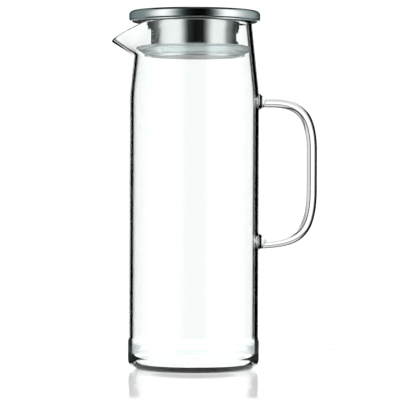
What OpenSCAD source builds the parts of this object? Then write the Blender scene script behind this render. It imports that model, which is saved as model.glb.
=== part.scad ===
// Two litre glass pitcher with a straining lid.
// Origin: on the jug's axis, on the table. +Z is up, the spout points to -X and the handle to +X.

/* [Jug] */
// Outside diameter of the straight body
jug_d = 106; // [96:1:116]
// Height of the glass rim above the table
jug_h = 280.7; // [260:1:320]
// Thickness of the blown wall
wall_t = 3.2; // [2.4:0.1:3.8]
// Thickness of the floor
floor_t = 5; // [4:0.5:8]
// Outside radius of the bottom corner
base_r = 8; // [6:0.5:10]
// Inside radius of the bottom corner
floor_r = 9; // [6:0.5:11]
// Distance that the neck draws in on each side, from the body to the mouth
neck_draw = 6.2; // [4:0.2:6.8]
// Height over which the neck draws in
neck_h = 58.7; // [50:1:70]
// Radius that blends the body into the neck
shoulder_r = 130; // [90:5:160]

/* [Spout] */
// Reach of the spout's tip from the jug's axis
spout_reach = 67.9; // [62:0.1:72]
// Depth of the spout's root below the rim
spout_root_drop = 25.7; // [23:0.5:27]
// Depth of the spout's tip below the rim
spout_tip_drop = 14.4; // [13:0.2:18]
// Half angle that the spout takes of the rim
spout_half_angle = 40; // [32:1:48]
// Angle over which the tip is rounded
spout_tip_round = 3; // [2:0.5:5]

/* [Handle] */
// Diameter of the glass rod
rod_d = 8; // [7:0.5:10]
// Height of the upper leg's centre line
handle_top_z = 215.2; // [190:0.2:219]
// Height of the lower leg's centre line
handle_low_z = 101; // [70:1:115]
// Length of the lower leg's straight stretch, past its weld
low_leg_l = 4.2; // [2:0.2:20]
// Bend radius at the top of the grip
upper_bend_r = 28; // [20:1:32]
// Bend radius at the bottom of the grip
lower_bend_r = 34; // [24:1:36]
// Diameter of a weld where it meets the jug
weld_d = 13; // [11:0.5:16]
// Distance that a weld stands out from the jug
weld_l = 4.4; // [3.4:0.2:6]

/* [Cap] */
// Distance that the steel cap stands out past the mouth
cap_overhang = 6.3; // [5.8:0.1:9]
// Height of the steel cap
cap_h = 8; // [7.4:0.2:10]
// Outside radius of the cap's rolled edge
cap_edge_r = 3.4; // [3:0.1:3.6]
// Thickness of the cap's sheet steel
sheet_t = 0.7; // [0.5:0.1:1]
// Distance that the black plate under the cap stays inside the cap's edge
plate_inset = 2.9; // [2.6:0.1:3.6]
// Depth that the plate stands out below the cap
plate_drop = 1; // [0.6:0.1:1.4]
// Thickness of the plate
plate_t = 2.4; // [2:0.1:3]
// Thickness of the ribs and of the rim on the plate
rib_t = 1.6; // [1.2:0.1:2]
// Number of ribs on the plate
rib_count = 8; // [6:1:12]

/* [Strainer] */
// Width of the pouring gap between the mouth and the short sleeve under the cap
pour_gap = 7.5; // [6.4:0.1:9]
// Length of the sleeve below the plate
sleeve_l = 6.7; // [5:0.1:8]
// Thickness of the sleeve and of the tube
tube_t = 0.6; // [0.5:0.1:0.8]
// Depth of the tube's lower end below the plate
tube_l = 28.8; // [27:0.2:32]
// Width of the turned out hem at the tube's lower end
hem_w = 1.2; // [0.8:0.1:1.6]
// Width of the sleeve's flange under the plate
flange_w = 9; // [8:0.2:10]
// Diameter of a strainer hole
hole_d = 1.5; // [1.2:0.1:1.8]
// Spacing of the strainer holes
hole_pitch = 2.6; // [2.3:0.1:2.9]
// Rows of strainer holes
hole_rows = 4; // [2:1:4]
// Columns of strainer holes
hole_columns = 11; // [5:2:17]
// Depth of the top row of holes below the plate
hole_top_drop = 8.4; // [8:0.1:9]
// Width of the pouring slot on the side away from the strainer holes
slot_w = 24.6; // [16:0.2:30]
// Height of the pouring slot
slot_h = 7.2; // [5:0.2:8]
// Depth of the pouring slot's top below the plate
slot_top_drop = 9.4; // [8:0.2:10]
// Corner radius of the pouring slot
slot_r = 2; // [1:0.2:2.4]

/* [Screws] */
// Number of screws that hold the sleeve to the plate
screw_count = 4; // [3:1:6]
// Diameter of a screw's shank
screw_d = 2.5; // [2:0.1:3]
// Diameter of a screw's head
screw_head_d = 5; // [4.4:0.2:5.4]
// Height of a screw's head
screw_head_h = 1.6; // [1.2:0.1:2]
// Length of a screw's shank
screw_l = 5; // [4:0.5:5.5]
// Outside diameter of the bosses that take the screws
boss_d = 6; // [5:0.5:7]

/* [Seal] */
// Height of the silicone seal
seal_h = 10; // [9:0.2:11]
// Radial clearance of the lip as it passes through the mouth
lip_gap = 0.4; // [0.3:0.05:1]
// Depth of the lip's edge below the top of the seal
lip_drop = 3.2; // [2.6:0.2:4]
// Thickness of the lip's edge
lip_edge_t = 0.8; // [0.6:0.1:1.2]
// Thickness of the seal's top edge
seal_top_t = 1; // [0.8:0.1:1.6]
// Thickness of the seal under the lip
seal_waist_t = 3.6; // [2.6:0.1:4.4]
// Distance that the foot flange stands out from the seal
seal_foot_w = 1.7; // [1:0.1:2.4]
// Thickness of the foot flange
seal_foot_t = 1.1; // [0.8:0.1:1.4]

/* [Clearances] */
// Gap between the glass rim and the plate that rests on it
rest_gap = 0.3; // [0.1:0.1:0.5]
// Radial clearance of the tube in the seal
turn_gap = 0.05; // [0.02:0.01:0.09]
// Gap at the seal's end, above the tube's hem
hem_gap = 0.3; // [0.2:0.05:0.5]
// Clearance between pieces that are fitted together
fit_gap = 0.1; // [0.05:0.05:0.2]

/* [Hidden] */
$fn = 96;

glass = [0.80, 0.88, 0.88, 0.45];
steel = [0.72, 0.73, 0.74];
black = [0.08, 0.08, 0.09];
silicone = [0.82, 0.86, 0.87, 0.8];

// Overrun of a cut past the face that it opens
over = 1;
// How far the faceted neck stands inside the turned body where they join
neck_step = 0.06;
// Overlap of the pieces that make up one solid
lap = 0.2;
// Height between the spout's root and the joint of body and neck
neck_join_drop = 5;
// Steps in an arc of the jug's outline
arc_steps = 8;
// Degrees between the neck's columns away from the spout, and within it
neck_step_deg = 5;
spout_step_deg = 2.5;
// Rings up the neck, as shares of the height from the spout's root to the rim
ring_shares = [0, 0.08, 0.2, 0.45, 0.72, 1];
// Share of that height over which the spout's keel starts to curve away
keel_round_share = 0.09;
// Steps in the rounding of the rim
rim_steps = 4;
// Power of the spout's taper towards the rim's circle
spout_power = 2;
// Power of the rim's dip against the spout's reach, so that the rim falls to the tip in a straight line
dip_power = 0.75;

jug_r = jug_d / 2;
mouth_r = jug_r - neck_draw;
shoulder_z = jug_h - neck_h;
// Outward lean of the neck, as radius lost for each unit of height
neck_lean = neck_draw / neck_h;
neck_angle = atan(neck_lean);
mouth_inner_r = mouth_r - wall_t / cos(neck_angle);
// Length of the straight stretches that the shoulder arc takes
shoulder_tangent = shoulder_r * tan(neck_angle / 2);
root_z = jug_h - spout_root_drop;
join_z = root_z - neck_join_drop;
rod_r = rod_d / 2;
weld_face_x = jug_r + weld_l;
grip_x = weld_face_x + low_leg_l + lower_bend_r;
plate_z = jug_h + rest_gap;
cap_z = plate_z + plate_drop;
cap_top_z = cap_z + cap_h;
cap_r = mouth_r + cap_overhang;
plate_r = cap_r - plate_inset;
sleeve_r = mouth_inner_r - pour_gap;
tube_r = sleeve_r - tube_t - fit_gap;
tube_bottom_z = plate_z - tube_l;
seal_z = tube_bottom_z + tube_t + hem_gap;
seal_bore_r = tube_r + turn_gap;
seal_waist_r = seal_bore_r + seal_waist_t;
seal_foot_r = seal_waist_r + seal_foot_w;
seal_lip_r = mouth_inner_r - lip_gap;
// Place of the screws across the sleeve's flange
flange_screw_share = 0.5;
screw_r = sleeve_r - tube_t - flange_w * flange_screw_share;

// Points of an arc from angle a0 to a1 about [x, z]
function arc(x, z, r, a0, a1, steps = arc_steps) =
    [for (i = [0 : steps]) let (a = a0 + (a1 - a0) * i / steps) [x + r * cos(a), z + r * sin(a)]];

// Radius of the jug's outside at a height in the neck
function neck_radius(z) = mouth_r + (jug_h - z) * neck_lean;

// Outside of the jug below the joint, from the axis out and up
function jug_outside() = concat(
    [[0, 0]],
    arc(jug_r - base_r, base_r, base_r, -90, 0),
    arc(jug_r - shoulder_r, shoulder_z - shoulder_tangent, shoulder_r, 0, neck_angle),
    [[neck_radius(join_z), join_z]]);

// Inside of the jug below the joint, from the axis out and up
function jug_inside() =
    let (inner_r = jug_r - wall_t)
    concat(
        [[0, floor_t]],
        arc(inner_r - floor_r, floor_t + floor_r, floor_r, -90, 0),
        arc(jug_r - shoulder_r, shoulder_z - shoulder_tangent, shoulder_r - wall_t, 0, neck_angle),
        [[neck_radius(join_z) - wall_t / cos(neck_angle), join_z]]);

function reversed(list) = [for (i = [len(list) - 1 : -1 : 0]) list[i]];

module jug_body() {
    rotate_extrude()
        polygon(concat(jug_outside(), reversed(jug_inside())));
}

// Angles of the neck's columns, closer together in the spout, which is centred on 180 degrees
neck_angles = concat(
    [for (a = [180 - spout_half_angle : spout_step_deg : 180 + spout_half_angle]) a],
    [for (a = [180 + spout_half_angle + neck_step_deg : neck_step_deg : 540 - spout_half_angle - neck_step_deg / 2]) a]);

// Share of the spout's full reach at an angle: 1 at the tip, 0 where the rim is round again
function spout_share(angle) =
    let (off = min(abs(angle - 180), abs(angle - 540)),
         soft = sqrt(pow(off, 2) + pow(spout_tip_round, 2)) - spout_tip_round,
         full = sqrt(pow(spout_half_angle, 2) + pow(spout_tip_round, 2)) - spout_tip_round)
    off >= spout_half_angle ? 0 : pow(1 - soft / full, spout_power);

// The keel's run outward at a share of its height, and its slope there
function keel_run(t) = (sqrt(pow(t, 2) + pow(keel_round_share, 2)) - keel_round_share)
    / (sqrt(1 + pow(keel_round_share, 2)) - keel_round_share);
function keel_slope(t) = t / sqrt(pow(t, 2) + pow(keel_round_share, 2))
    / (sqrt(1 + pow(keel_round_share, 2)) - keel_round_share);

// One column of the neck's section as [radius, height]: up the outside, over the rim, down the inside
function neck_column(angle) =
    let (share = spout_share(angle),
         half = wall_t / 2,
         edge_z = jug_h - half - (spout_tip_drop - half) * pow(share, dip_power),
         rise = edge_z - root_z,
         spread = (spout_reach - half - neck_radius(edge_z)) * share,
         out = [for (t = ring_shares)
             let (z = root_z + rise * t)
             [neck_radius(z) + spread * keel_run(t), z]],
         tangents = [for (t = ring_shares)
             let (v = [spread * keel_slope(t) - neck_lean * rise, rise])
             v / norm(v)],
         in = [for (i = [0 : len(ring_shares) - 1])
             out[i] + wall_t * [-tangents[i][1], tangents[i][0]]],
         last = len(ring_shares) - 1,
         middle = (out[last] + in[last]) / 2,
         side = (out[last] - in[last]) / 2,
         top = half * tangents[last],
         rim = [for (i = [1 : rim_steps - 1])
             middle + cos(180 * i / rim_steps) * side + sin(180 * i / rim_steps) * top])
    concat(
        [[neck_radius(join_z - lap) - neck_step, join_z - lap]],
        out,
        rim,
        reversed(in),
        [[neck_radius(join_z - lap) - wall_t / cos(neck_angle) + 2 * neck_step, join_z - lap]]);

module jug_neck() {
    columns = [for (a = neck_angles) neck_column(a)];
    rings = len(columns[0]);
    count = len(columns);
    points = [for (i = [0 : count - 1]) for (p = columns[i])
        [p[0] * cos(neck_angles[i]), p[0] * sin(neck_angles[i]), p[1]]];
    faces = [for (i = [0 : count - 1]) for (j = [0 : rings - 1])
        let (a = i * rings + j,
             b = i * rings + (j + 1) % rings,
             c = ((i + 1) % count) * rings + (j + 1) % rings,
             d = ((i + 1) % count) * rings + j)
        each [[a, b, c], [a, c, d]]];
    polyhedron(points = points, faces = faces, convexity = 6);
}

module glass_jug() {
    color(glass) union() {
        jug_body();
        jug_neck();
    }
}

// A quarter bend in the plane of the handle
module rod_bend(z, r, from) {
    translate([grip_x - r, 0, z])
        rotate([90, 0, 0])
            rotate([0, 0, from])
                rotate_extrude(angle = 90)
                    translate([r, 0])
                        circle(r = rod_r);
}

// A straight leg from the weld to a bend
module rod_leg(z, r) {
    translate([weld_face_x, 0, z])
        rotate([0, 90, 0])
            cylinder(h = grip_x - r - weld_face_x, r = rod_r);
}

module handle_rod() {
    grip_low_z = handle_low_z + lower_bend_r;
    grip_top_z = handle_top_z - upper_bend_r;
    color(glass) union() {
        rod_leg(handle_top_z, upper_bend_r);
        rod_bend(grip_top_z, upper_bend_r, 0);
        translate([grip_x, 0, grip_low_z])
            cylinder(h = grip_top_z - grip_low_z, r = rod_r);
        rod_bend(grip_low_z, lower_bend_r, -90);
        rod_leg(handle_low_z, lower_bend_r);
    }
}

// Angle of the arc that a weld's side follows
weld_flare_angle = 78;

// A gather of glass that spreads from the rod to the jug's wall
module weld(z) {
    flare = (weld_d - rod_d) / 2;
    color(glass) difference() {
        translate([jug_r, 0, z])
            rotate([0, 90, 0])
                rotate_extrude()
                    polygon(concat(
                        [[0, -wall_t], [weld_d / 2, -wall_t]],
                        arc(weld_d / 2, weld_l, flare, 180 + weld_flare_angle, 180),
                        [[0, weld_l]]));
        rotate_extrude()
            polygon(concat(jug_outside(), [[0, join_z]]));
    }
}

module handle_upper_weld() {
    weld(handle_top_z);
}

module handle_lower_weld() {
    weld(handle_low_z);
}

// Half section of the cap's outside, or of its inside where inset is the sheet's thickness
module cap_section(inset) {
    edge = cap_edge_r - inset;
    for (z = [cap_z + cap_edge_r, cap_top_z - cap_edge_r])
        translate([cap_r - cap_edge_r, z])
            circle(r = edge);
    translate([0, cap_z + cap_edge_r])
        square([cap_r - inset, cap_h - 2 * cap_edge_r]);
    translate([0, cap_z + inset])
        square([cap_r - cap_edge_r, cap_h - 2 * inset]);
}

module cap_shell() {
    color(steel) rotate_extrude()
        difference() {
            cap_section(0);
            cap_section(sheet_t);
            translate([0, cap_z - over])
                square([plate_r + fit_gap, over + sheet_t + fit_gap]);
        }
}

module screw_places() {
    for (i = [0 : screw_count - 1])
        rotate([0, 0, 360 * i / screw_count])
            translate([screw_r, 0, 0])
                children();
}

module cap_plate() {
    inside_z = cap_z + sheet_t + fit_gap;
    roof_z = cap_top_z - sheet_t;
    rim_r = cap_r - cap_edge_r;
    floor_z = plate_z + plate_t;
    color(black) difference() {
        union() {
            translate([0, 0, plate_z])
                cylinder(h = plate_t, r = plate_r);
            translate([0, 0, inside_z])
                difference() {
                    cylinder(h = roof_z - inside_z, r = rim_r);
                    translate([0, 0, floor_z - inside_z])
                        cylinder(h = roof_z, r = rim_r - rib_t);
                }
            for (i = [0 : rib_count - 1])
                rotate([0, 0, 360 * (i + 0.5) / rib_count])
                    translate([rib_start_share * rim_r, -rib_t / 2, plate_z])
                        cube([rim_r * (1 - rib_start_share) - rib_t / 2, rib_t, roof_z - plate_z]);
            screw_places()
                translate([0, 0, plate_z])
                    cylinder(h = roof_z - plate_z, r = boss_d / 2);
        }
        screw_places()
            translate([0, 0, plate_z - over])
                cylinder(h = over + screw_l, r = screw_d / 2 + fit_gap / 2);
    }
}
// Share of the plate's radius where its ribs start
rib_start_share = 0.25;

module collar_sleeve() {
    color(steel) difference() {
        union() {
            translate([0, 0, plate_z - sleeve_l])
                cylinder(h = sleeve_l, r = sleeve_r);
        }
        translate([0, 0, plate_z - sleeve_l - over])
            cylinder(h = over + sleeve_l - tube_t, r = sleeve_r - tube_t);
        translate([0, 0, plate_z - sleeve_l])
            cylinder(h = sleeve_l + over, r = sleeve_r - tube_t - flange_w);
        screw_places()
            translate([0, 0, plate_z - sleeve_l])
                cylinder(h = sleeve_l + over, r = screw_d / 2 + fit_gap);
    }
}

// A rounded bar that points along +X and cuts the pouring slot
module slot_cutter() {
    rotate([90, 0, 90])
        linear_extrude(sleeve_r)
            rounded_panel(slot_w, slot_h, slot_r);
}

// A rectangle with round corners, centred on X and hanging down from 0, made of exact arcs
module rounded_panel(w, h, r) {
    translate([r - w / 2, -h])
        square([w - 2 * r, h]);
    translate([-w / 2, r - h])
        square([w, h - 2 * r]);
    for (x = [r - w / 2, w / 2 - r], y = [r - h, -r])
        translate([x, y])
            circle(r = r);
}

module strainer_tube() {
    hole_angle = 360 * hole_pitch / (2 * PI * tube_r);
    tube_top_z = plate_z - tube_t;
    color(steel) difference() {
        union() {
            translate([0, 0, tube_bottom_z])
                cylinder(h = tube_top_z - tube_bottom_z, r = tube_r);
            translate([0, 0, tube_bottom_z])
                cylinder(h = tube_t, r = tube_r + hem_w);
        }
        translate([0, 0, tube_bottom_z - over])
            cylinder(h = tube_l + 2 * over, r = tube_r - tube_t);
        translate([0, 0, plate_z - slot_top_drop])
            slot_cutter();
        for (row = [0 : hole_rows - 1], column = [0 : hole_columns - 1])
            rotate([0, 0, 180 + hole_angle * (column - (hole_columns - 1) / 2)])
                translate([tube_r - tube_t - over, 0, plate_z - hole_top_drop - hole_pitch * row])
                    rotate([0, 90, 0])
                        cylinder(h = tube_t + 2 * over, r = hole_d / 2, $fn = 24);
    }
}

module flange_screws() {
    head_z = plate_z - tube_t - screw_head_h;
    color(steel) screw_places()
        translate([0, 0, head_z])
            difference() {
                union() {
                    cylinder(h = screw_head_h, r = screw_head_d / 2);
                    cylinder(h = screw_head_h + screw_l, r = screw_d / 2);
                }
                for (turn = [0, 90])
                    rotate([0, 0, turn])
                        translate([-screw_head_d * recess_w_share / 2, -screw_head_d * recess_t_share / 2, -over])
                            cube([screw_head_d * recess_w_share, screw_head_d * recess_t_share,
                                  over + screw_head_h * recess_h_share]);
            }
}
// The cross recess, as shares of the screw head's diameter and height
recess_w_share = 0.6;
recess_t_share = 0.16;
recess_h_share = 0.5;

module seal_ring() {
    top_z = seal_z + seal_h;
    lip_z = top_z - lip_drop;
    // The lip's upper side is an arc that leaves the top edge and falls to the lip's edge
    run = seal_lip_r - seal_bore_r - seal_top_t;
    color(silicone) rotate_extrude()
        polygon(concat(
            [[seal_bore_r, seal_z],
             [seal_foot_r, seal_z],
             [seal_foot_r, seal_z + seal_foot_t],
             [seal_waist_r, seal_z + seal_foot_t + seal_foot_w / 2],
             [seal_lip_r, lip_z - lip_edge_t]],
            [for (i = [0 : arc_steps])
                let (a = 90 * i / arc_steps)
                [seal_lip_r - run * (1 - cos(a)), lip_z + lip_drop * sin(a)]],
            [[seal_bore_r, top_z]]));
}

glass_jug();
handle_rod();
handle_upper_weld();
handle_lower_weld();
cap_shell();
cap_plate();
collar_sleeve();
strainer_tube();
flange_screws();
seal_ring();
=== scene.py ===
# %% [markdown]
# # A glass pitcher with a straining lid
# The object is a tall borosilicate pitcher. Its vessel is blown, its spout is pulled from the
# hot rim, and its handle is a bent glass rod that is welded to the wall. The lid has a pressed
# steel cap, a black plate, a steel strainer and a silicone seal.
# The construction is already there as exact solids. This lesson dresses it: it swaps the pieces
# that need a finer surface for smooth meshes, gives each piece its material, and lights the
# whole so that clear glass reads as glass.

# %% Load the construction
import math

import bmesh
import bpy
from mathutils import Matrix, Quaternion, Vector


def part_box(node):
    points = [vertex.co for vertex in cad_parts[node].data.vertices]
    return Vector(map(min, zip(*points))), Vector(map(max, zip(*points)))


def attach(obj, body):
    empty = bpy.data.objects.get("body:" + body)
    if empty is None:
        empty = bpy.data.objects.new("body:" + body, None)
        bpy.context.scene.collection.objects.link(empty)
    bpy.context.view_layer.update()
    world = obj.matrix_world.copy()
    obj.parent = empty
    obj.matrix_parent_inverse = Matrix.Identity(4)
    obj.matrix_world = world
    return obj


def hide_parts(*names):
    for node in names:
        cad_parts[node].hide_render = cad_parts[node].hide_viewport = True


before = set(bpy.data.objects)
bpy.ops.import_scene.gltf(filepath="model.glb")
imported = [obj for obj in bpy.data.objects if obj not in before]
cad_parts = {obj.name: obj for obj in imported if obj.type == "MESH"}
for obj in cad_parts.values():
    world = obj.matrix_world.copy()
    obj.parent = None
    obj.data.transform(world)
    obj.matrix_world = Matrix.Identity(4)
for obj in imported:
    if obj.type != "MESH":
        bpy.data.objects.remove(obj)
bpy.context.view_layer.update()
MM = 0.001
print("pieces in the construction:", sorted(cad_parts))

# %% [markdown]
# Sizes are kept in millimetres, as on a drawing, and become metres only where a mesh is made.
# Most of them come from the construction, so that a new piece lands where the old one was.
# `corners` reads the lowest and highest corner of a solid.

# %% Read the driving sizes from the construction
def corners(node):
    """Lowest and highest corner of a solid, in millimetres."""
    low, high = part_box(node)
    return low / MM, high / MM


jug_low, jug_high = corners("glass_jug")
cap_low, cap_high = corners("cap_shell")
seal_low, seal_high = corners("seal_ring")
rod_low, rod_high = corners("handle_rod")

JUG_R = jug_high.y
RIM_Z = jug_high.z
print(f"jug radius {JUG_R:.1f} mm, rim at {RIM_Z:.1f} mm")

# %% [markdown]
# ## Small helpers
# A turned piece is an outline swept round the axis. Blender's Spin tool and the Screw modifier
# do the same, but a mesh written straight from points keeps full control of the ring spacing,
# which matters in glass, where each facet would bend the light behind it.

# %% Helpers that write meshes
def arc(x, z, radius, start, end, steps):
    """Points of an arc about (x, z), with the angles in degrees."""
    angles = [math.radians(start + (end - start) * i / steps) for i in range(steps + 1)]
    return [(x + radius * math.cos(a), z + radius * math.sin(a)) for a in angles]


def mesh_object(name, points_mm, faces):
    """A mesh object made from points in millimetres, in the scene."""
    mesh = bpy.data.meshes.new(name)
    mesh.from_pydata([Vector(p) * MM for p in points_mm], [], faces)
    obj = bpy.data.objects.new(name, mesh)
    bpy.context.scene.collection.objects.link(obj)
    return obj


def finish_piece(obj, body, replaces, crease):
    """Smooths a piece, keeps its sharp edges, and hands it to its body."""
    obj.data.shade_smooth()
    obj.data.set_sharp_from_angle(angle=math.radians(crease))
    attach(obj, body)
    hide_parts(*replaces)
    skin = bmesh.new()
    skin.from_mesh(obj.data)
    volume = skin.calc_volume(signed=True) / MM ** 3 / 1000
    skin.free()
    print(f"{obj.name}: {len(obj.data.polygons)} faces round {volume:.1f} millilitres")


def ring_faces(columns, rings, closed_outline):
    """Quads between neighbouring columns of points; columns go all the way round."""
    faces = []
    steps = rings if closed_outline else rings - 1
    for i in range(columns):
        here, there = i * rings, (i + 1) % columns * rings
        for j in range(steps):
            k = (j + 1) % rings
            faces.append((here + j, there + j, there + k, here + k))
    return faces


print("helpers ready")

# %% [markdown]
# ## The vessel
# The real vessel is one skin of glass of even thickness: a flat base with round corners, a
# straight body, a soft shoulder, a neck that leans in, and a spout. It could be made with a
# subdivision surface, but the wall must stay even to the tenth of a millimetre or the dark
# edge lines of the glass would wander. So each column of points follows the true section:
# up the outside, over the fire-polished rim, and down the inside.

# %% Sizes of the vessel
WALL = 3.2
FLOOR = 5.0
CORNER_OUT = 8.0
CORNER_IN = 9.0
NECK_H = 58.7
NECK_DRAW = 6.2
SHOULDER_R = 130.0
MOUTH_R = JUG_R - NECK_DRAW
LEAN = NECK_DRAW / NECK_H
LEAN_DEG = math.degrees(math.atan(LEAN))
SHOULDER_Z = RIM_Z - NECK_H - SHOULDER_R * math.tan(math.radians(LEAN_DEG / 2))
print(f"the neck leans in by {LEAN_DEG:.1f} degrees, from {SHOULDER_Z:.0f} mm up")


def neck_radius(z):
    """Outer radius of the round neck at a height."""
    return MOUTH_R + (RIM_Z - z) * LEAN


# %% [markdown]
# The spout is pulled with a tool while the rim is soft, so it is strongest at its tip and fades
# into the round rim on both sides. One share, 1 at the tip and 0 where the rim is round again,
# drives both how far the wall is pulled out and how far the rim dips.

# %% Shape of the spout
SPOUT_REACH = 67.8
SPOUT_ROOT_Z = RIM_Z - 27.8
SPOUT_TIP_DROP = 16.6
DIP_POWER = 0.94
SPOUT_HALF = 40.0
TIP_ROUND = 3.0
KEEL_ROUND = 0.09


def spout_share(degrees):
    """How strongly the spout is pulled at a bearing, from 0 to 1."""
    off = abs(degrees - 180)
    if off >= SPOUT_HALF:
        return 0.0
    soft = math.hypot(off, TIP_ROUND) - TIP_ROUND
    full = math.hypot(SPOUT_HALF, TIP_ROUND) - TIP_ROUND
    return (1 - soft / full) ** 2


def keel_run(t):
    """How far the spout has swung out at a share t of its height: a small round, then straight."""
    return (math.hypot(t, KEEL_ROUND) - KEEL_ROUND) / (math.hypot(1, KEEL_ROUND) - KEEL_ROUND)


def keel_slope(t):
    """How fast keel_run grows."""
    return t / math.hypot(t, KEEL_ROUND) / (math.hypot(1, KEEL_ROUND) - KEEL_ROUND)


print(f"the spout reaches {-jug_low.x:.1f} mm from the axis in the construction")

# %% [markdown]
# The section of the neck changes with the bearing, so a function gives it for any column. Its
# rings stand closest at the root of the spout, where the keel bends most. The inside keeps the
# thickness of the wall at a right angle to the outside, and a half circle closes the rim.

# %% One column of the vessel's section
RIM_STEPS = 12
SPOUT_RINGS = 26
BODY_START = 30
BODY_RING = 20


def neck_column(degrees):
    """Section of the neck at a bearing: up the outside, over the rim, down the inside."""
    share = spout_share(degrees)
    half = WALL / 2
    edge_z = RIM_Z - half - (SPOUT_TIP_DROP - half) * share ** DIP_POWER
    rise = edge_z - SPOUT_ROOT_Z
    spread = (SPOUT_REACH - half - neck_radius(edge_z)) * share
    outside, inside = [], []
    for i in range(SPOUT_RINGS + 1):
        t = (i / SPOUT_RINGS) ** 1.5
        z = SPOUT_ROOT_Z + rise * t
        out = Vector((neck_radius(z) + spread * keel_run(t), z))
        along = Vector((spread * keel_slope(t) - LEAN * rise, rise)).normalized()
        outside.append(out)
        inside.append(out + WALL * Vector((-along.y, along.x)))
    middle = (outside[-1] + inside[-1]) / 2
    side = (outside[-1] - inside[-1]) / 2
    rim = []
    for i in range(1, RIM_STEPS):
        a = math.pi * i / RIM_STEPS
        rim.append(middle + math.cos(a) * side + math.sin(a) * half * along)
    return [tuple(p) for p in outside + rim + inside[::-1]]


def wall_outline(radius, corner, bottom, bend):
    """Section of one face of the wall below the spout, from the corner up."""
    return (arc(radius - corner, bottom + corner, corner, -90, 0, 14)
            + [(radius, z) for z in range(BODY_START, int(SHOULDER_Z) - 10, BODY_RING)]
            + arc(JUG_R - SHOULDER_R, SHOULDER_Z, bend, 0, LEAN_DEG, 10))


below_outside = wall_outline(JUG_R, CORNER_OUT, 0, SHOULDER_R)
below_inside = wall_outline(JUG_R - WALL, CORNER_IN, FLOOR, SHOULDER_R - WALL)
print("rings below the spout:", len(below_outside), "outside,", len(below_inside), "inside")

# %% [markdown]
# Columns stand closer together near the tip, where the section changes fast. The centre points
# of the floor, above and below, close the skin.

# %% Build the vessel
COARSE = 1.25
FINE = 0.5
bearings = [a * COARSE for a in range(130)]
bearings += [162.5 + a * FINE for a in range(71)]
bearings += [198.75 + a * COARSE for a in range(129)]

vessel_points = []
for degrees in bearings:
    a = math.radians(degrees)
    column = below_outside + neck_column(degrees) + below_inside[::-1]
    vessel_points += [(r * math.cos(a), r * math.sin(a), z) for r, z in column]
rings = len(vessel_points) // len(bearings)
vessel_faces = ring_faces(len(bearings), rings, False)
under, above = len(vessel_points), len(vessel_points) + 1
vessel_points += [(0, 0, 0), (0, 0, FLOOR)]
for i in range(len(bearings)):
    here, there = i * rings, (i + 1) % len(bearings) * rings
    vessel_faces.append((under, there, here))
    vessel_faces.append((above, here + rings - 1, there + rings - 1))
glassware = mesh_object("blown_glass", vessel_points, vessel_faces)
print("vessel:", len(bearings), "columns of", rings, "points")

# %% [markdown]
# ## The handle
# The handle is a solid rod that was bent while hot. It is 8.5 mm thick in the grip, 7.7 mm in
# the upper leg and 7.2 mm in the lower leg, which slopes down a little to its weld. A curve
# object with a bevel could make it, but the weld needs a mesh, so its rings are placed directly.
# Each bend is a cubic curve, which is rounder in the middle and eases into the straights as bent
# glass does. Its two middle points pull it towards the corner.

# %% Path of the rod
GRIP_R = 4.25
LEG_R = 3.85
LOW_LEG_R = 3.6
GRIP_X = rod_high.x - GRIP_R
TOP_Z = rod_high.z - 3.5
LOW_Z = rod_low.z + LOW_LEG_R + 0.4
INTO_WALL = 2
LEG_RING = 0.6
GRIP_RING = 5
GRIP_TOP_Z = 176
LOW_BEND_X = JUG_R + 9
LOW_BEND_Z = LOW_Z + 0.7
LOW_FALL = 0.04


def cubic(p0, p1, p2, p3, steps):
    """Points on a cubic curve, without its first one."""
    points = []
    for i in range(1, steps + 1):
        t = i / steps
        weights = ((1 - t) ** 3, 3 * t * (1 - t) ** 2, 3 * t * t * (1 - t), t ** 3)
        points.append(tuple(sum(w * p[k] for w, p in zip(weights, (p0, p1, p2, p3)))
                            for k in range(2)))
    return points


centre_line = [(JUG_R - INTO_WALL + LEG_RING * i, TOP_Z) for i in range(22)]
centre_line += cubic(centre_line[-1], (GRIP_X - 10.3, TOP_Z), (GRIP_X, TOP_Z - 9.1),
                     (GRIP_X, GRIP_TOP_Z), 30)
centre_line += [(GRIP_X, GRIP_TOP_Z - GRIP_RING * i) for i in range(1, 7)]
centre_line += cubic(centre_line[-1], (GRIP_X, 111), (GRIP_X - 10.4, LOW_Z + 3.4),
                     (LOW_BEND_X, LOW_BEND_Z), 34)
centre_line += [(LOW_BEND_X - LEG_RING * i, LOW_BEND_Z - LOW_FALL * i) for i in range(1, 19)]
print("rod path:", len(centre_line), "rings")

# %% [markdown]
# At both ends a gather of hot glass is laid on the wall and the rod is pressed into it. It
# leaves a short cone that is as wide as a thumb nail at the wall and runs out into the rod. The
# list gives the rings of the cone, each by its distance from the wall and its radius. Both cones
# sit a little higher than the middle of their leg.

# %% Sweep the rod and its two gathers
GATHER = [(-1.6, 6.4), (-0.3, 6.9), (0.1, 6.7), (0.5, 6.2), (1.0, 5.7), (1.7, 5.2), (2.5, 4.75),
          (3.4, 4.35), (4.3, 3.95), (5.2, 3.6), (5.8, 3.1)]
UPPER_GATHER_Z = TOP_Z + 0.8
LOWER_GATHER_Z = LOW_Z + 2.4
GATHER_SIDES = 56
ROD_SIDES = 48
MIDDLE_Z = 150
SWELL_START = 12
SWELL_LENGTH = 24


def rod_radius(x, z):
    """Radius of the rod at a point of its path: it swells from a leg to the grip."""
    leg = LEG_R if z > MIDDLE_Z else LOW_LEG_R
    swell = min(1, max(0, (x - JUG_R - SWELL_START) / SWELL_LENGTH))
    return leg + (GRIP_R - leg) * swell


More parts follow.
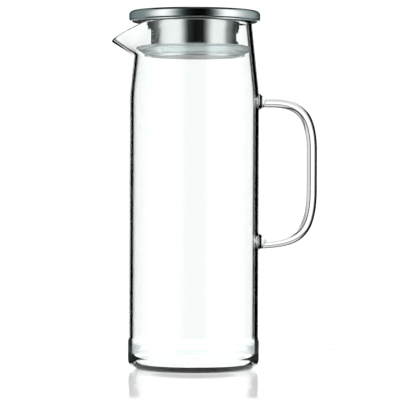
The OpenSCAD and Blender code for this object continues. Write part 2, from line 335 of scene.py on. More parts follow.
def swept(name, path, radii, sides):
    """A closed tube of rings along a path in the XZ plane."""
    points, faces = [], []
    for i, (x, z) in enumerate(path):
        before, after = path[max(0, i - 1)], path[min(len(path) - 1, i + 1)]
        along = Vector((after[0] - before[0], after[1] - before[1])).normalized()
        for k in range(sides):
            a = 2 * math.pi * k / sides
            up = radii[i] * math.cos(a)
            points.append((x - along.y * up, radii[i] * math.sin(a), z + along.x * up))
    for i in range(len(path) - 1):
        for k in range(sides):
            m = (k + 1) % sides
            faces.append((i * sides + k, (i + 1) * sides + k, (i + 1) * sides + m, i * sides + m))
    faces.append(tuple(range(sides)))
    faces.append(tuple(range((len(path) - 1) * sides, len(path) * sides))[::-1])
    return mesh_object(name, points, faces)


rod = swept("rod_blank", centre_line, [rod_radius(x, z) for x, z in centre_line], ROD_SIDES)
gathers = [swept(name, [(JUG_R + d, z) for d, r in GATHER], [r for d, r in GATHER], GATHER_SIDES)
           for name, z in (("upper_gather", UPPER_GATHER_Z), ("lower_gather", LOWER_GATHER_Z))]
print("rod:", len(rod.data.vertices), "points")

# %% [markdown]
# Where the rod is welded on, the glasses have run together and there is no surface left between
# them. Overlapping meshes would show a false mirror inside the wall, so Boolean unions melt
# them into one skin. The vessel, the rod and both welds are one piece of glass.

# %% Melt the handle and the vessel together
for blank in [rod] + gathers:
    melt = glassware.modifiers.new(blank.name, "BOOLEAN")
    melt.operation = "UNION"
    melt.solver = "MANIFOLD"
    melt.object = blank
depsgraph = bpy.context.evaluated_depsgraph_get()
melted = bpy.data.meshes.new_from_object(glassware.evaluated_get(depsgraph))
glassware.modifiers.clear()
glassware.data = melted
for blank in [rod] + gathers:
    bpy.data.objects.remove(blank)
finish_piece(glassware, "jug",
             ("glass_jug", "handle_rod", "handle_upper_weld", "handle_lower_weld"), crease=50)

# %% [markdown]
# ## The lid
# The cap is pressed from thin steel. Its top turns over a small radius into an upright side, and
# the side curls in under itself. From there a short lip stands down round the black plate, and
# its rounded edge catches the light as a thin bright line. A cylinder with bevelled edges would
# come close, but here each radius has its place, so the cap is turned from one section that
# starts and ends on the axis.

# %% Turn the steel cap
CAP_R = cap_high.x
TOP_EDGE = 3.2
FOOT_EDGE = 2.6
SHEET = 0.7
HEM_R = 0.25
CAP_TOP = cap_high.z - 0.4
HEM_X = CAP_R - 2.35
HEM_LOW = cap_low.z - 1.42
HEM_TOP = cap_low.z - 0.6


def cap_outline():
    """Section of the cap: out over the top, down the side, round the lip, and back inside."""
    top = CAP_TOP
    outer = [(r, top) for r in (6, 12, 18, 24, 30, 36, 42, 47)]
    outer += arc(CAP_R - TOP_EDGE, top - TOP_EDGE, TOP_EDGE, 90, 0, 12)
    foot_z = HEM_TOP + FOOT_EDGE * math.sin(math.radians(60))
    outer += arc(CAP_R - FOOT_EDGE, foot_z, FOOT_EDGE, 0, -60, 10)
    hem = [(HEM_X + 0.2, HEM_TOP), (HEM_X, HEM_TOP - 0.1)]
    hem += arc(HEM_X - HEM_R, HEM_LOW + HEM_R, HEM_R, 0, -180, 10)
    inner = arc(CAP_R - FOOT_EDGE, foot_z, FOOT_EDGE - SHEET, -96, 0, 8)
    inner += arc(CAP_R - TOP_EDGE, top - TOP_EDGE, TOP_EDGE - SHEET, 0, 90, 8)
    inner += [(r, top - SHEET) for r in (47, 30, 6)]
    return outer + hem + inner


def turned(name, outline, turns, closed_outline):
    """A piece turned round the axis. An open outline starts and ends on the axis."""
    points = []
    for i in range(turns):
        a = 2 * math.pi * i / turns
        points += [(r * math.cos(a), r * math.sin(a), z) for r, z in outline]
    faces = ring_faces(turns, len(outline), closed_outline)
    if not closed_outline:
        points += [(0, 0, outline[0][1]), (0, 0, outline[-1][1])]
        for i in range(turns):
            here, there = i * len(outline), (i + 1) % turns * len(outline)
            faces.append((len(points) - 2, there, here))
            faces.append((len(points) - 1, here + len(outline) - 1, there + len(outline) - 1))
    return mesh_object(name, points, faces)


cap = turned("pressed_cap", cap_outline()[::-1], 256, False)
finish_piece(cap, "lid", ("cap_shell",), crease=40)

# %% [markdown]
# ## The seal
# The seal is moulded silicone. Its lip is larger than the neck, so that it bends and grips the
# glass. The rigid solid has to keep its lip clear of the mouth, and here the lip is drawn as it
# lies in the neck: it leaves the tube, falls outward and ends against the wall. A thin flange
# stands out at its foot. A cloth or lattice could bend the lip, but its bent section is known,
# so it is turned as the cap is.

# %% Turn the seal with its lip against the glass
SEAL_BORE = 35.43
SEAL_TOP = seal_high.z - 1.1
SEAL_FOOT = seal_low.z - 0.3
LIP_Z = SEAL_TOP - 3.8
LIP_R = neck_radius(LIP_Z) - WALL - 0.15
LIP_SWELL = 1.15
WAIST_R = SEAL_BORE + 4.2
FOOT_R = SEAL_BORE + 5.3
LAND = 1.0


def seal_outline():
    """Section of the seal: up the bore, over the top and the lip, and down to the flange."""
    top, bottom = SEAL_TOP, SEAL_FOOT
    run = LIP_R - SEAL_BORE - LAND
    out = [(SEAL_BORE, bottom), (SEAL_BORE, top)]
    for i in range(19):
        a = math.radians(90 * i / 18)
        out.append((SEAL_BORE + LAND + run * math.sin(a) ** LIP_SWELL,
                    LIP_Z + (top - LIP_Z) * math.cos(a)))
    out += [(LIP_R, LIP_Z - 0.4), (LIP_R - 0.4, LIP_Z - 0.8)]
    out += [(LIP_R - 2.2, LIP_Z - 1.9), (LIP_R - 4.0, LIP_Z - 3.0), (WAIST_R, LIP_Z - 4.0)]
    out += [(WAIST_R, bottom + 1.5), (WAIST_R + 0.4, bottom + 1.1), (FOOT_R - 0.4, bottom + 1.0)]
    out += arc(FOOT_R - 0.45, bottom + 0.5, 0.45, 70, -70, 6)
    return out


seal = turned("moulded_seal", seal_outline()[::-1], 192, True)
finish_piece(seal, "seal", ("seal_ring",), crease=60)

# %% [markdown]
# ## Materials
# Colours are written as the sRGB hex values that a colour picker shows, and one function turns
# them into the linear values that a shader works with. One small function adds a node.

# %% Material helpers
def linear(hex_colour):
    """Linear colour of an sRGB hex value, with an alpha of 1."""
    channels = [int(hex_colour[i:i + 2], 16) / 255 for i in (1, 3, 5)]
    return [c / 12.92 if c <= 0.04045 else ((c + 0.055) / 1.055) ** 2.4 for c in channels] + [1.0]


def add_node(tree, kind, settings=None, links=None):
    """Adds a node. Settings name its properties, its inputs or the stops of its ramp."""
    node = tree.nodes.new(kind)
    for name, value in (settings or {}).items():
        if name == "stops":
            elements = node.color_ramp.elements
            elements.remove(elements[1])
            for i, (place, colour) in enumerate(value):
                stop = elements[0] if i == 0 else elements.new(place)
                stop.position, stop.color = place, colour
        elif isinstance(name, str) and hasattr(node, name):
            setattr(node, name, value)
        else:
            node.inputs[name].default_value = value
    for name, socket in (links or {}).items():
        tree.links.new(socket, node.inputs[name])
    return node


def new_material(name, settings):
    """A material whose principled shader has these settings. Returns it, its tree and shader."""
    material = bpy.data.materials.new(name)
    material.use_nodes = True
    tree = material.node_tree
    tree.nodes.clear()
    shader = add_node(tree, "ShaderNodeBsdfPrincipled", settings)
    add_node(tree, "ShaderNodeOutputMaterial", links={"Surface": shader.outputs[0]})
    return material, tree, shader


def dress(material, *objects):
    """Gives pieces this material and no other."""
    for obj in objects:
        obj.data.materials.clear()
        obj.data.materials.append(material)
    print(f"{material.name} on", ", ".join(o.name for o in objects))


print("material helpers ready")

# %% [markdown]
# ### Borosilicate glass
# Borosilicate has an index of refraction of 1.47 and is nearly colourless, with a faint cool
# tint in its depth. Blown ware is fire polished, so its roughness is 0, but its surface carries
# long soft waves from the blowing. They are drawn as a very low bump, 25 mm from wave to wave
# and three times as long up the wall. The eye sees straight things behind the glass tremble.
# Its mirror is matched to the photograph and is a little weaker than the index alone would give.

# %% Make the glass
WAVE = 25 * MM
glass, tree, shader = new_material("blown_borosilicate_glass", {
    "Base Color": linear("#FDFFFE"), "Roughness": 0.0, "IOR": 1.474,
    "Transmission Weight": 1.0, "Specular IOR Level": 0.3})
place = add_node(tree, "ShaderNodeTexCoord")
stretch = add_node(tree, "ShaderNodeMapping", {"Scale": (1.0, 1.0, 0.33)},
                   {"Vector": place.outputs["Object"]})
waves = add_node(tree, "ShaderNodeTexNoise", {"Scale": 1 / WAVE, "Detail": 1.0},
                 {"Vector": stretch.outputs[0]})
swell = add_node(tree, "ShaderNodeBump", {"Strength": 0.1, "Distance": 0.25 * MM},
                 {"Height": waves.outputs["Fac"]})
tree.links.new(swell.outputs[0], shader.inputs["Normal"])
dress(glass, glassware)

# %% [markdown]
# ### Brushed stainless steel
# The cap is brushed while it turns, so every fine line runs round the axis, on the top and on
# the side alike. The real lines are a few hundredths of a millimetre wide. They are drawn 0.5 mm
# apart, so that they just show. Noise that changes fast with the radius and the height and
# slowly round the axis gives such lines. They change the roughness, the tone and the bump. The
# flat top is brushed coarser than the side and mirrors less, so it is light grey from above.

# %% Make the brushed steel
LINE = 0.5 * MM
CHANGES_PER_RADIAN = 2.5
TOP_ROUGHER = 0.3
MIRROR_LOSS = 2.2
brushed, tree, shader = new_material("brushed_stainless_steel", {
    "Base Color": linear("#C9CCCC"), "Metallic": 1.0, "Roughness": 0.16})
place = add_node(tree, "ShaderNodeTexCoord")
axes = add_node(tree, "ShaderNodeSeparateXYZ", links={0: place.outputs["Object"]})
flat = add_node(tree, "ShaderNodeCombineXYZ", links={0: axes.outputs[0], 1: axes.outputs[1]})
from_axis = add_node(tree, "ShaderNodeVectorMath", {"operation": "LENGTH"}, {0: flat.outputs[0]})
round_axis = add_node(tree, "ShaderNodeMath", {"operation": "ARCTAN2"},
                      {0: axes.outputs[1], 1: axes.outputs[0]})
slow = add_node(tree, "ShaderNodeMath", {
    "operation": "MULTIPLY", 1: CHANGES_PER_RADIAN * LINE}, {0: round_axis.outputs[0]})
brush_path = add_node(tree, "ShaderNodeCombineXYZ", links={
    0: from_axis.outputs["Value"], 1: slow.outputs[0], 2: axes.outputs[2]})
lines = add_node(tree, "ShaderNodeTexNoise", {"Scale": 1 / LINE, "Detail": 3.0},
                 {"Vector": brush_path.outputs[0]})
tone = add_node(tree, "ShaderNodeMix", {"data_type": "RGBA", 6: linear("#BFC3C4"),
                                        7: linear("#D2D5D5")}, {0: lines.outputs["Fac"]})
polish = add_node(tree, "ShaderNodeMapRange", {"To Min": 0.10, "To Max": 0.22},
                  {"Value": lines.outputs["Fac"]})
scratch = add_node(tree, "ShaderNodeBump", {"Strength": 0.12, "Distance": 0.02 * MM},
                   {"Height": lines.outputs["Fac"]})
on_face = add_node(tree, "ShaderNodeMapRange", {
    "From Min": (CAP_TOP - 0.2) * MM, "From Max": (CAP_TOP - 0.02) * MM,
    "To Max": TOP_ROUGHER}, {"Value": axes.outputs[2]})
coarser = add_node(tree, "ShaderNodeMath", links={0: polish.outputs[0], 1: on_face.outputs[0]})
mirror = add_node(tree, "ShaderNodeMath", {
    "operation": "MULTIPLY_ADD", 1: -MIRROR_LOSS, 2: 1.0}, {0: on_face.outputs[0]})
tree.links.new(mirror.outputs[0], shader.inputs["Metallic"])
tree.links.new(tone.outputs[2], shader.inputs["Base Color"])
tree.links.new(coarser.outputs[0], shader.inputs["Roughness"])
tree.links.new(scratch.outputs[0], shader.inputs["Normal"])
dress(brushed, cap)

# %% [markdown]
# ### Polished stainless steel
# The sleeve and the strainer tube are drawn from sheet and polished outside, and mirror the
# studio sharply, with faint upright draw lines, drawn 0.8 mm apart so that they just show.
# Inside, the tube is left dull and light grey, as it came from the press and the pickling bath.
# The radius tells the two apart: the wall of the tube is 0.6 mm thick. The flange in the sleeve
# and its four screws lie inside that wall, and so they are dull as well.

# %% Make the polished steel
DRAW_LINE = 0.8 * MM
TUBE_INSIDE_R = 34.78
TUBE_OUTSIDE_R = 35.38
across_wall = {"From Min": TUBE_INSIDE_R * MM, "From Max": (TUBE_OUTSIDE_R - 0.1) * MM}
polished, tree, shader = new_material("polished_stainless_steel", {
    "Base Color": linear("#D8D9D9"), "Metallic": 1.0, "Roughness": 0.04})
place = add_node(tree, "ShaderNodeTexCoord")
axes = add_node(tree, "ShaderNodeSeparateXYZ", links={0: place.outputs["Object"]})
flat = add_node(tree, "ShaderNodeCombineXYZ", links={0: axes.outputs[0], 1: axes.outputs[1]})
from_axis = add_node(tree, "ShaderNodeVectorMath", {"operation": "LENGTH"}, {0: flat.outputs[0]})
satin = add_node(tree, "ShaderNodeMapRange", {**across_wall, "To Min": 0.35, "To Max": 0.02},
                 {"Value": from_axis.outputs["Value"]})
upright = add_node(tree, "ShaderNodeMapping", {"Scale": (1.0, 1.0, 0.04)},
                   {"Vector": place.outputs["Object"]})
draw_lines = add_node(tree, "ShaderNodeTexNoise", {"Scale": 1 / DRAW_LINE, "Detail": 2.0},
                      {"Vector": upright.outputs[0]})
bare = add_node(tree, "ShaderNodeMapRange", {**across_wall, "To Min": 0.7, "To Max": 1.0},
                {"Value": from_axis.outputs["Value"]})
worn = add_node(tree, "ShaderNodeMath", {"operation": "MULTIPLY_ADD", 1: 0.03},
                {0: draw_lines.outputs["Fac"], 2: satin.outputs[0]})
drawn = add_node(tree, "ShaderNodeBump", {"Strength": 0.03, "Distance": 0.01 * MM},
                 {"Height": draw_lines.outputs["Fac"]})
tree.links.new(bare.outputs[0], shader.inputs["Metallic"])
tree.links.new(worn.outputs[0], shader.inputs["Roughness"])
tree.links.new(drawn.outputs[0], shader.inputs["Normal"])
dress(polished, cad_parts["collar_sleeve"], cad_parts["strainer_tube"],
      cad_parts["flange_screws"])

# %% [markdown]
# ### Black polypropylene
# The plate is injection moulded in a spark-eroded tool, which leaves a grain of about 0.6 mm.
# It looks soft black, a little greyer on top of each grain, with a weak sheen.

# %% Make the black plastic
GRAIN = 0.6 * MM
black, tree, shader = new_material("moulded_black_polypropylene", {
    "Base Color": linear("#080909"), "Roughness": 0.6, "Specular IOR Level": 0.04})
place = add_node(tree, "ShaderNodeTexCoord")
grain = add_node(tree, "ShaderNodeTexNoise", {"Scale": 1 / GRAIN, "Detail": 2.0},
                 {"Vector": place.outputs["Object"]})
dusk = add_node(tree, "ShaderNodeMix", {"data_type": "RGBA", 6: linear("#060707"),
                                        7: linear("#0D0E0F")}, {0: grain.outputs["Fac"]})
matt = add_node(tree, "ShaderNodeMapRange", {"To Min": 0.5, "To Max": 0.7},
                {"Value": grain.outputs["Fac"]})
eroded = add_node(tree, "ShaderNodeBump", {"Strength": 0.25, "Distance": 0.05 * MM},
                  {"Height": grain.outputs["Fac"]})
tree.links.new(dusk.outputs[2], shader.inputs["Base Color"])
tree.links.new(matt.outputs[0], shader.inputs["Roughness"])
tree.links.new(eroded.outputs[0], shader.inputs["Normal"])
dress(black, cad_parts["cap_plate"])

# %% [markdown]
# ### Translucent silicone
# Silicone rubber is milky: part of the light passes and comes out soft, and part is scattered
# back with a cool tint, which varies in clouds of 7 mm. The mould was finished fine, so the skin
# has a soft gloss with a tooth of 0.4 mm. The steel behind it shows through as soft light and
# dark bands.

# %% Make the silicone
TOOTH = 0.4 * MM
CLOUD = 7 * MM
silicone, tree, shader = new_material("moulded_translucent_silicone", {
    "Base Color": linear("#F0F5F5"), "Roughness": 0.08, "IOR": 1.41,
    "Transmission Weight": 0.86, "Specular IOR Level": 0.3})
place = add_node(tree, "ShaderNodeTexCoord")
tooth = add_node(tree, "ShaderNodeTexNoise", {"Scale": 1 / TOOTH, "Detail": 2.0},
                 {"Vector": place.outputs["Object"]})
cloud = add_node(tree, "ShaderNodeTexNoise", {"Scale": 1 / CLOUD, "Detail": 1.0},
                 {"Vector": place.outputs["Object"]})
milk = add_node(tree, "ShaderNodeMix", {"data_type": "RGBA", 6: linear("#ECF3F4"),
                                        7: linear("#F4F8F8")}, {0: cloud.outputs["Fac"]})
skin = add_node(tree, "ShaderNodeMapRange", {"To Min": 0.04, "To Max": 0.1},
                {"Value": tooth.outputs["Fac"]})
toothed = add_node(tree, "ShaderNodeBump", {"Strength": 0.1, "Distance": 0.02 * MM},
                   {"Height": tooth.outputs["Fac"]})
tree.links.new(milk.outputs[2], shader.inputs["Base Color"])
tree.links.new(skin.outputs[0], shader.inputs["Roughness"])
tree.links.new(toothed.outputs[0], shader.inputs["Normal"])
dress(silicone, seal)

# %% [markdown]
# ## The studio
# Clear glass has hardly any look of its own: it shows what stands round it. It is lit in bright
# field here: a white wall behind gives the white body, and dark gaps beside that wall bend into
# the edges and draw the black outlines. Bright metal is the same: its dark stripe is the gap
# between two softboxes, where the camera stands. A photographer would build this from panels
# and flags. Here the panels are bands of light on the sky, placed by their bearing in degrees.
# The metal mirrors two broad panels with soft edges, left and right of the camera.
# Each band list says what one kind of surface has to show, and the next cells choose between
# them by how often a ray was mirrored or went through glass on its way.

# %% What is mirrored, from the camera's side round, positive to the right
BRIGHTEST = 1.8
SOFT_WIDTH = 10
SOFT_CHANGE = 0.25
SOFT_PARTS = 4


def soften(edges):
    """Band list from the edges of panels. A wide edge where light changes much becomes a curve."""
    bands = [edges[0]]
    for (start, light), (end, next_light) in zip(edges, edges[1:]):
        change = next_light - light
        if end - start > SOFT_WIDTH and abs(change) > SOFT_CHANGE:
            for part in range(1, SOFT_PARTS):
                way = part / SOFT_PARTS
                eased = way * way * (3 - 2 * way)
                bands.append((start + way * (end - start), light + eased * change))
        bands.append((end, next_light))
    return bands


BY_CAP = soften([(-180, 0), (-170, 0.02), (-130, 0.34), (-100, 0.4), (-56, 1.7), (-20, 0.05),
                 (-8, 0), (20, 0), (29, 0.03), (59, 1.75), (64, 1.75), (108, 0.65),
                 (162, 0.03), (180, 0)])
BY_COLLAR = soften([(-180, 1.1), (-173, 1.1), (-170, 0.05), (-135, 0.1), (-112, 0.25),
                    (-84, 1.33), (-43, 1.33), (-16, 0.05), (0, 0.01), (22, 0.02), (52, 1.33),
                    (75, 1.33), (97, 0.33), (125, 0.05), (170, 0.02), (173, 1.1), (180, 1.1)])
BY_GLOSS = [(-180, 1.2), (-161, 1.2), (-160, 0.0), (-100, 0.0), (-70, 0.5), (-50, 1.2),
            (-24, 1.2), (-15, 0.0), (20, 0.0), (28, 1.2), (60, 1.2), (80, 0.4), (100, 0.0),
            (160, 0.0), (161, 1.2), (180, 1.2)]
print("mirrored bands:", len(BY_CAP), "in the cap,", len(BY_COLLAR), "in the collar,",
      len(BY_GLOSS), "in the glass")

# %% [markdown]
# The lists for glass count from straight behind the jug. The wall behind is 32 degrees wide.
# The edge of the vessel bends a ray by 20 to 38 degrees, past the end of that wall, and so it
# turns black. The solid handle bends rays further, and so it has a list of its own.

# %% What is seen in glass, from straight behind the jug, positive to the right
BY_EDGE = [(-180, 0.0), (-19.5, 0.0), (-18.5, 1.5), (-12.5, 1.5), (-8, 1.25), (0, 1.1),
           (8, 1.25), (12.5, 1.45), (13.2, 1.45), (14.5, 0.0), (180, 0.0)]
BY_BODY = [(-180, 1.0), (-30, 0.9), (-29.5, 0.0), (-19.5, 0.0),
           (-18.5, 1.5), (-12.5, 1.5), (-8, 1.25), (0, 1.1), (8, 1.25), (12.5, 1.45),
           (13.2, 1.45), (14.5, 0.0), (29.5, 0.0), (30, 0.9), (60, 1.0), (180, 1.0)]
BY_ROD = [(-180, 0.8), (-98, 0.6), (-94, 0.0), (-28, 0.0), (-22, 0.1), (-17, 0.45), (-13, 1.15),
          (9.6, 1.15), (10.2, 0.0), (16.5, 0.0), (17.5, 0.75), (30, 0.75), (45, 0.55),
          (90, 0.75), (180, 0.8)]
print("bands seen in glass:", len(BY_EDGE), "at the edge,", len(BY_BODY), "through the body,",
      len(BY_ROD), "in the rod")

# %% [markdown]
# The world shader is asked for the light of every ray that leaves the scene. The direction of
# the ray gives a bearing from the camera's side, a bearing from straight behind, and a climb.
# Each becomes a share from 0 to 1, as a colour ramp takes it. The sky isn't sampled as a lamp,
# so that every ray reaches it on its own way, and that way can be read.

# %% Bearings of a ray
world = bpy.data.worlds.new("studio")
bpy.context.scene.world = world
world.use_nodes = True
world.cycles.sampling_method = "NONE"
sky = world.node_tree
sky.nodes.clear()

direction = add_node(sky, "ShaderNodeTexCoord").outputs["Generated"]
split = add_node(sky, "ShaderNodeSeparateXYZ", links={0: direction})
nearer = add_node(sky, "ShaderNodeMath", {"operation": "MULTIPLY", 1: -1.0},
                  {0: split.outputs["Y"]})
from_camera = add_node(sky, "ShaderNodeMath", {"operation": "ARCTAN2"},
                       {0: split.outputs["X"], 1: nearer.outputs[0]})
from_behind = add_node(sky, "ShaderNodeMath", {"operation": "ARCTAN2"},
                       {0: split.outputs["X"], 1: split.outputs["Y"]})
near_share, far_share = [
    add_node(sky, "ShaderNodeMath", {"operation": "MULTIPLY_ADD", 1: 1 / (2 * math.pi), 2: 0.5},
             {0: angle.outputs[0]}).outputs[0] for angle in (from_camera, from_behind)]
climb = add_node(sky, "ShaderNodeMath", {"operation": "ARCSINE"}, {0: split.outputs["Z"]})
climb_share = add_node(sky, "ShaderNodeMath", {
    "operation": "MULTIPLY_ADD", 1: 1 / math.pi, 2: 0.5}, {0: climb.outputs[0]}).outputs[0]
print("bearings and climb of a ray ready")

# %% [markdown]
# A colour ramp holds each list: the bearing is the place of a stop, and the light is its colour.
# All light is divided by the brightest value here and multiplied by it again at the end, so
# that the stops stay between 0 and 1. Steel loses some red where it mirrors something dim, which
# gives its greys their cool cast.

# %% Turn the band lists into light
def light_stops(bands, cool):
    """Stops of a ramp from pairs of degrees and light. Dim bands lose this share of their red."""
    stops = []
    for degrees, light in bands:
        share = light / BRIGHTEST
        red = share * (1 - cool * max(0, 1 - light))
        stops.append((degrees / 360 + 0.5, (red, share, share, 1)))
    return stops


cap_light, collar_light, gloss_light = [
    add_node(sky, "ShaderNodeValToRGB", {"stops": light_stops(bands, cool)},
             {0: near_share}).outputs[0]
    for bands, cool in ((BY_CAP, 0.32), (BY_COLLAR, 0.12), (BY_GLOSS, 0))]
edge_light, body_light, rod_light = [
    add_node(sky, "ShaderNodeValToRGB", {"stops": light_stops(bands, 0)},
             {0: far_share}).outputs[0] for bands in (BY_EDGE, BY_BODY, BY_ROD)]
print("light by bearing ready, 1 in a stop stands for", BRIGHTEST)

# %% [markdown]
# Light also changes with the climb, in degrees from the level. Above the wall behind the jug
# there is a dark gap, which draws the lines along the spout and along the legs of the handle,
# and above that a soft ceiling. The rod has a list of its own here as well. Light that comes
# through the body from well below the level is plain white, so that the jug stays clear when it
# is seen from above. In the cap, the panels end in a dim cornice, with a ceiling straight above.
# Straight behind the jug the foot of the wall is lit for everything that mirrors it, so that
# the floor stays white.

# %% Light by the climb of the ray
GLASS_FROM_ABOVE = 1.0
STEEP_FROM = 10
STEEP_TO = 15
CORNICE = 0.08
CORNICE_FADE = (40, 52)
CEILING = 0.5
CEILING_FADE = (78, 88)
WALL_BEHIND = 1.16
WALL_SIDE = (171, 174)
WALL_TOP = (14, 8)
GAP_ABOVE = [(-90, 1.0), (16, 1.0), (19, 0.0), (38, 0.0), (46, 0.6), (90, 0.8)]
GAP_IN_ROD = [(-90, 0.55), (-40, 0.55), (-20, 0.6), (-8, 0.72), (-3, 1.0), (9, 1.0), (11, 0.3),
              (17, 0.3), (19, 0.7), (31, 0.7), (35, 0.25), (74, 0.25), (82, 0.7), (90, 0.7)]
above_wall, above_rod = [
    add_node(sky, "ShaderNodeValToRGB", {
        "stops": [((d + 90) / 180, (v, v, v, 1)) for d, v in gap]}, {0: climb_share}).outputs[0]
    for gap in (GAP_ABOVE, GAP_IN_ROD)]
edge_light, body_light, rod_light = [
    add_node(sky, "ShaderNodeVectorMath", {"operation": "MULTIPLY"},
             {0: light, 1: gap}).outputs[0]
    for light, gap in ((edge_light, above_wall), (body_light, above_wall), (rod_light, above_rod))]
steep = add_node(sky, "ShaderNodeMapRange", {
    "From Min": 0.5 - STEEP_FROM / 180, "From Max": 0.5 - STEEP_TO / 180}, {"Value": climb_share})
body_light = add_node(sky, "ShaderNodeMix", {
    "data_type": "RGBA", 7: (GLASS_FROM_ABOVE / BRIGHTEST,) * 3 + (1,)},
    {0: steep.outputs[0], 6: body_light}).outputs[2]
over_panels, over_cornice = [
    add_node(sky, "ShaderNodeMapRange", {
        "interpolation_type": "SMOOTHSTEP", "From Min": 0.5 + start / 180,
        "From Max": 0.5 + end / 180}, {"Value": climb_share}).outputs[0]
    for start, end in (CORNICE_FADE, CEILING_FADE)]
cornice = add_node(sky, "ShaderNodeVectorMath", {"operation": "SCALE", "Scale": CORNICE},
                   {0: cap_light}).outputs[0]
cap_light = add_node(sky, "ShaderNodeMix", {"data_type": "RGBA"},
                     {0: over_panels, 6: cap_light, 7: cornice}).outputs[2]
cap_light = add_node(sky, "ShaderNodeMix", {
    "data_type": "RGBA", 7: (CEILING / BRIGHTEST,) * 3 + (1,)},
    {0: over_cornice, 6: cap_light}).outputs[2]

to_side = add_node(sky, "ShaderNodeMath", {"operation": "ABSOLUTE"}, {0: from_camera.outputs[0]})
at_back = add_node(sky, "ShaderNodeMapRange", {
    "From Min": math.radians(WALL_SIDE[0]), "From Max": math.radians(WALL_SIDE[1])},
    {"Value": to_side.outputs[0]})
low_down = add_node(sky, "ShaderNodeMapRange", {
    "From Min": 0.5 + WALL_TOP[0] / 180, "From Max": 0.5 + WALL_TOP[1] / 180},
    {"Value": climb_share})
low_back = add_node(sky, "ShaderNodeMath", {"operation": "MULTIPLY"},
                    {0: at_back.outputs[0], 1: low_down.outputs[0]})
cap_light = add_node(sky, "ShaderNodeMix", {
    "data_type": "RGBA", 7: (WALL_BEHIND / BRIGHTEST,) * 3 + (1,)},
    {0: low_back.outputs[0], 6: cap_light}).outputs[2]
print("stops over the climb:", len(GAP_ABOVE), "in the wall,", len(GAP_IN_ROD), "in the rod")

# %% [markdown]
# The Light Path node counts how often a ray was mirrored, went through a surface or was
# scattered. Its singular mark says that the last thing it met was perfectly smooth, and here
# only the glass is. These ways are told apart:
# - Mirrored, with glass last: off the skin of the glass after no surface, turned back inside the
#   wall after one or two, off the collar inside the vessel after three or four. After five or
#   more it met the seal as well, and its light is raised to make up for what the seal takes.
# - Mirrored, with something else last: off the cap or the floor, or off the collar where it
#   shows above the spout. After one or two surfaces it came off the collar and left over the
#   rim, and after three or more it gets the light of the cap again.
# - Never mirrored: past the jug, through the rod after one or two surfaces, or through the body
#   after three or more.
# - Scattered: matt things inside the jug get a stronger sky. A path tracer loses most of the
#   light that real walls bend round to them, and without it the seal would look grey.

# %% Choose the light by the way of the ray, where each wall of glass counts as two surfaces
OPEN_SKY = 1.15
INNER_SKY = 4.4
BEHIND_SEAL = 1.45
ONCE = 0.5
SECOND_WALL = 2.5
THIRD_WALL = 4.5
way = add_node(sky, "ShaderNodeLightPath").outputs
one_skin, two_skins, many_skins, mirrored, scattered = [
    add_node(sky, "ShaderNodeMath", {"operation": "GREATER_THAN", 1: limit},
             {0: way[name]}).outputs[0]
    for name, limit in (("Transmission Depth", ONCE), ("Transmission Depth", SECOND_WALL),
                        ("Transmission Depth", THIRD_WALL), ("Glossy Depth", ONCE),
                        ("Diffuse Depth", ONCE))]
seal_light = add_node(sky, "ShaderNodeVectorMath", {"operation": "SCALE", "Scale": BEHIND_SEAL},
                      {0: collar_light}).outputs[0]
lights = {"cap": cap_light, "collar": collar_light, "gloss": gloss_light, "edge": edge_light,
          "body": body_light, "rod": rod_light, "seal": seal_light}
for name, strength in (("open", OPEN_SKY), ("inner", INNER_SKY)):
    plain = add_node(sky, "ShaderNodeRGB").outputs[0]
    plain.default_value = (strength / BRIGHTEST,) * 3 + (1,)
    lights[name] = plain
for name, question, no, yes in (
        ("off thin glass", one_skin, "gloss", "edge"),
        ("inside the jug", many_skins, "collar", "seal"),
        ("off glass", two_skins, "off thin glass", "inside the jug"),
        ("off outer metal", one_skin, "cap", "collar"),
        ("off metal", two_skins, "off outer metal", "cap"),
        ("after a mirror", way["Is Singular Ray"], "off metal", "off glass"),
        ("straight past the jug", one_skin, "open", "rod"),
        ("straight", two_skins, "straight past the jug", "body"),
        ("off matt things", two_skins, "open", "inner"),
        ("never scattered", mirrored, "straight", "after a mirror"),
        ("every way", scattered, "never scattered", "off matt things")):
    lights[name] = add_node(sky, "ShaderNodeMix", {"data_type": "RGBA"},
                            {0: question, 6: lights[no], 7: lights[yes]}).outputs[2]
background = add_node(sky, "ShaderNodeBackground", {"Strength": BRIGHTEST},
                      {"Color": lights["every way"]})
add_node(sky, "ShaderNodeOutputWorld", links={"Surface": background.outputs[0]})
print("sky ready")
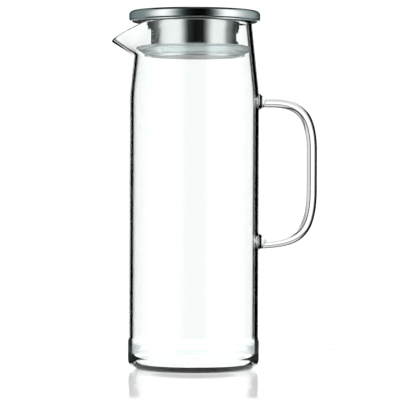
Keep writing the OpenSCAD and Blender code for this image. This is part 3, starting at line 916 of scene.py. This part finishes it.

# %% [markdown]
# ## Floor
# The floor is a plain white sheet with a slight gloss, which mirrors the jug only where it is
# seen at a shallow angle. It is a round table top of 70 cm, as white as the light beyond it, and
# its gloss fades to matt before its edge, so that the edge hardly shows from the photograph's
# side. From behind and from the right it does. A wider table would fill the dark gaps that draw
# the edges of the jug. For polished things outside the jug, the floor beside it is painted dark
# grey. This is a painted reflection of a black flag that doesn't lie there, and so the foot of the
# lid and the edges of the base keep their dark lines. Under the jug it stays white. Through the
# jug, the floor beside it is painted a dimmer grey. This painted shade offsets the stronger sky
# that lights it there.

# %% Lay the floor
TABLE_R = 350
TABLE_SIDES = 96
FLOOR_GAP = 0.3
SHEET_GLOSS = 0.07
MATT_FROM = 240
MATT_TO = 320
FLAG_FROM = 56
FLAG_TO = 66
table_edge = [2 * math.pi * i / TABLE_SIDES for i in range(TABLE_SIDES)]
floor = mesh_object("floor", [(TABLE_R * math.cos(a), TABLE_R * math.sin(a), 0)
                              for a in table_edge], [tuple(range(TABLE_SIDES))])
floor.location.z = -FLOOR_GAP * MM
white_sheet, tree, shader = new_material("white_floor_sheet", {
    "Base Color": linear("#FDFDFD"), "Roughness": SHEET_GLOSS, "IOR": 1.1})
way = add_node(tree, "ShaderNodeLightPath").outputs
outside = add_node(tree, "ShaderNodeMath", {"operation": "LESS_THAN", 1: SECOND_WALL},
                   {0: way["Transmission Depth"]})
shaded = add_node(tree, "ShaderNodeMath", {"operation": "MULTIPLY", "use_clamp": True},
                  {0: outside.outputs[0], 1: way["Glossy Depth"]})
spot = add_node(tree, "ShaderNodeTexCoord")
from_jug = add_node(tree, "ShaderNodeVectorMath", {"operation": "LENGTH"},
                    {0: spot.outputs["Object"]})
fading = add_node(tree, "ShaderNodeMapRange", {
    "From Min": MATT_FROM * MM, "From Max": MATT_TO * MM, "To Min": SHEET_GLOSS, "To Max": 1.0},
    {"Value": from_jug.outputs["Value"]})
tree.links.new(fading.outputs[0], shader.inputs["Roughness"])
beyond = add_node(tree, "ShaderNodeMapRange", {
    "From Min": FLAG_FROM * MM, "From Max": FLAG_TO * MM}, {"Value": from_jug.outputs["Value"]})
# Painted reflection: beside the jug, rays mirrored by polished things outside it see the floor
# painted dark grey.
painted_flag_share = add_node(tree, "ShaderNodeMath", {"operation": "MULTIPLY"},
                   {0: shaded.outputs[0], 1: beyond.outputs[0]})
# Painted shade: seen through the jug, the floor beside it is painted grey to offset the stronger
# sky there.
through_jug = add_node(tree, "ShaderNodeMath", {"operation": "GREATER_THAN", 1: SECOND_WALL},
                       {0: way["Transmission Depth"]})
painted_grey_share = add_node(tree, "ShaderNodeMath", {"operation": "MULTIPLY"},
                      {0: through_jug.outputs[0], 1: beyond.outputs[0]})
white = add_node(tree, "ShaderNodeMix", {"data_type": "RGBA", 6: linear("#FDFDFD"),
                                         7: linear("#97999A")}, {0: painted_grey_share.outputs[0]})
# The floor's colour: white, with the painted grey and the painted dark grey mixed in.
floor_with_painted_shade = add_node(tree, "ShaderNodeMix", {"data_type": "RGBA", 7: linear("#2A2C2D")},
                 {0: painted_flag_share.outputs[0], 6: white.outputs[2]})
tree.links.new(floor_with_painted_shade.outputs[2], shader.inputs["Base Color"])
dress(white_sheet, floor)

# %% [markdown]
# ## Camera
# The photograph was taken from far off with a long lens, almost level, a little above the
# middle of the jug, and the jug leans to the right by a quarter of a degree. The sizes below
# are read from it: one pixel is 0.81 mm at the jug's axis.

# %% Place the camera
PIXEL = 0.81
IMAGE = 400
FOCAL_PIXELS = 2346
AXIS_COLUMN = 194
BASE_ROW = 368.9
HORIZON_ROW = 181
ROLL = 0.235
SENSOR = 36
distance = FOCAL_PIXELS * PIXEL
camera_data = bpy.data.cameras.new("camera")
camera_data.sensor_width = SENSOR
camera_data.lens = FOCAL_PIXELS / IMAGE * camera_data.sensor_width
camera = bpy.data.objects.new("camera", camera_data)
bpy.context.scene.collection.objects.link(camera)
aside = (IMAGE / 2 - AXIS_COLUMN) * PIXEL
eye = Vector((aside, -distance, (BASE_ROW - HORIZON_ROW) * PIXEL)) * MM
target = Vector((aside, 0, (BASE_ROW - IMAGE / 2) * PIXEL)) * MM
camera.location = eye
level = (target - eye).to_track_quat("-Z", "Y")
camera.rotation_euler = (level @ Quaternion((0, 0, 1), math.radians(ROLL))).to_euler()
bpy.context.scene.camera = camera
bpy.context.scene.view_settings.view_transform = "Standard"
print(f"camera {distance:.0f} mm away with a {camera_data.lens:.0f} mm lens")
